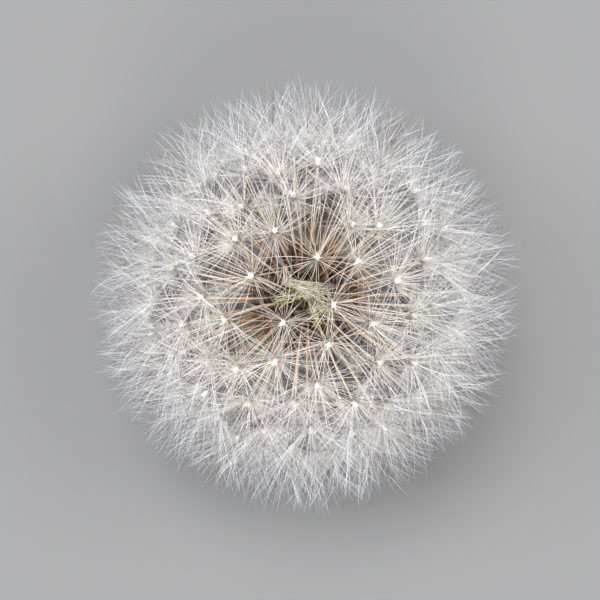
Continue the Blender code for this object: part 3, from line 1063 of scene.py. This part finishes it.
SCAPE_RINGS, SCAPE_SIDES = 40, 96
RIDGES = 24
RIDGE_DEPTH = 0.035 * MM  # half of it
RIDGE_WAVE, WAVE_PITCH = 1.5, 160  # how far the ridges wander, and how fast, in radians a metre
CUT_ROUNDING, CUT_REACH = 0.08 * MM, 0.25 * MM  # of the lower edge, inwards and upwards


def scape_material(green):
    """Streaked green with a red blush near the cut, and pale pith inside."""
    graph = Graph("scape_skin", 0.38)
    pith, place = graph.value("pith"), graph.place()
    streaks = graph.noise(graph.scaled(place, (1, 1, 0.05)), 3500)
    height = graph.add("ShaderNodeSeparateXYZ", (), {"Vector": place}, "Z") / SCAPE_HIGH.z
    blush = graph.smooth(1 - height + streaks * 0.5, 0.55, 1.35)
    skin = graph.mix(green.stem_green, green.stem_streak, streaks)
    skin = graph.mix(skin, green.stem_red, blush * 0.3)
    graph.set("Base Color", graph.mix(skin, green.stem_pith, pith))
    graph.set("Roughness", 0.34 + streaks * 0.2)
    graph.bump(streaks, 0.05 * MM, 0.4)
    return graph.material


class DANDELION_OT_scape(bpy.types.Operator):
    """Add the hollow, finely ridged stub of the stem with its cut end"""

    bl_idname = "dandelion.scape"
    bl_label = "Scape"

    def execute(self, context):
        heights = np.linspace(0, SCAPE_HIGH.z, SCAPE_RINGS)
        wander = RIDGE_WAVE * np.sin(heights * WAVE_PITCH)[:, None]
        ridges = RIDGE_DEPTH * (np.cos(RIDGES * circle(SCAPE_SIDES) + wander) - 1)
        rounding = CUT_ROUNDING * np.exp(-heights / CUT_REACH)[:, None]
        outside = SCAPE_HIGH.x - rounding + ridges
        inside = np.full_like(outside, SCAPE_HIGH.x - SCAPE_WALL)
        rings = np.concatenate([outside, inside])
        points = turned(rings, np.concatenate([heights, heights[::-1]]))
        faces = ring_faces(len(rings), SCAPE_SIDES)
        material = scape_material(context.scene.dandelion_green)
        piece = make_piece("scape_stub", points, faces, material, "scape", "scape")
        set_values(piece, pith=np.repeat([0, 1], outside.size))
        return {"FINISHED"}


# --- the stage ---

FLOOR_CORNERS = ((-3, -3, 0), (3, -3, 0), (3, 3, 0), (-3, 3, 0))
CAMERA_ASIDE = (-0.5 * MM, -0.3 * MM)  # of the stem's axis
LAMP_SPREAD = math.radians(26)
LAMP_DISTANCE = 0.3
# Each lamp's turn round the stem, rise over the floor, share of the key's strength, and colour
LAMPS = (
    ("top", 110, 72, 1.0, (1.0, 1.0, 1.0)),
    ("left", 165, 54, 0.5, (0.96, 0.98, 1.0)),
    ("right", 15, 54, 0.5, (1.0, 0.99, 0.97)),
    ("front", 270, 52, 0.45, (1.0, 0.99, 0.97)),
)


def add_floor(stage):
    mesh = bpy.data.meshes.new("floor")
    mesh.from_pydata(FLOOR_CORNERS, [], [(0, 1, 2, 3)])
    graph = Graph("floor_paint", 0.9)
    graph.set("Base Color", stage.floor_grey)
    mesh.materials.append(graph.material)
    floor = add_object("floor", mesh)
    floor.location.z = -FLOOR_CLEARANCE


def add_lights(context, stage):
    world = bpy.data.worlds.new("soft_sky")
    world.use_nodes = True
    background = world.node_tree.nodes["Background"]
    background.inputs["Color"].default_value = (*stage.sky_white, 1)
    background.inputs["Strength"].default_value = stage.sky
    context.scene.world = world
    for name, turn, rise, share, tint in LAMPS:
        data = bpy.data.lights.new("soft_" + name, "SUN")
        data.angle = LAMP_SPREAD
        data.energy = stage.key_power * share
        data.color = tint
        lamp = add_object("soft_" + name, data)
        way = Vector(polar(1.0, math.radians(90 - rise), math.radians(turn)))
        lamp.location = Vector((0, 0, MIDDLE)) + way * LAMP_DISTANCE
        lamp.rotation_euler = way.to_track_quat("Z", "Y").to_euler()


def add_camera(context, stage):
    data = bpy.data.cameras.new("camera")
    data.lens = data.sensor_width * (stage.camera_height - MIDDLE) / stage.view_width
    camera = add_object("camera", data)
    camera.location = (*CAMERA_ASIDE, stage.camera_height)
    context.scene.camera = camera


class DANDELION_OT_stage(bpy.types.Operator):
    """Add a plain pale floor, soft lights and a camera that looks down on the crown"""

    bl_idname = "dandelion.stage"
    bl_label = "Stage"

    def execute(self, context):
        stage = context.scene.dandelion_stage
        add_floor(stage)
        add_lights(context, stage)
        add_camera(context, stage)
        context.scene.view_settings.view_transform = "Standard"
        return {"FINISHED"}


# --- the panel, and making it all ---


class DANDELION_PT_panel(bpy.types.Panel):
    """The add-on's settings and steps."""

    bl_idname = "DANDELION_PT_panel"
    bl_label = "Seed Head"
    bl_space_type = "VIEW_3D"
    bl_region_type = "UI"
    bl_category = "Seed Head"

    def draw(self, context):
        for group in GROUPS:
            box = self.layout.box()
            settings = getattr(context.scene, group)
            for name in settings.bl_rna.properties.keys():
                if name not in ("rna_type", "name"):
                    box.prop(settings, name)
        for step in STEPS:
            self.layout.operator(step.bl_idname)


STEPS = (
    DANDELION_OT_stage,
    DANDELION_OT_pappus,
    DANDELION_OT_hubs,
    DANDELION_OT_wisps,
    DANDELION_OT_beaks,
    DANDELION_OT_achenes,
    DANDELION_OT_receptacle,
    DANDELION_OT_bracts,
    DANDELION_OT_scape,
)
GROUPS = {
    "dandelion_head": DANDELION_PG_head,
    "dandelion_green": DANDELION_PG_green,
    "dandelion_stage": DANDELION_PG_stage,
}
CLASSES = (*GROUPS.values(), *STEPS, DANDELION_PT_panel)


def register():
    for kind in CLASSES:
        bpy.utils.register_class(kind)
    for name, group in GROUPS.items():
        setattr(bpy.types.Scene, name, bpy.props.PointerProperty(type=group))


def unregister():
    for name in GROUPS:
        delattr(bpy.types.Scene, name)
    for kind in reversed(CLASSES):
        bpy.utils.unregister_class(kind)


def main():
    register()
    for step in STEPS:
        family, name = step.bl_idname.split(".")
        getattr(getattr(bpy.ops, family), name)()


if __name__ == "__main__":
    main()
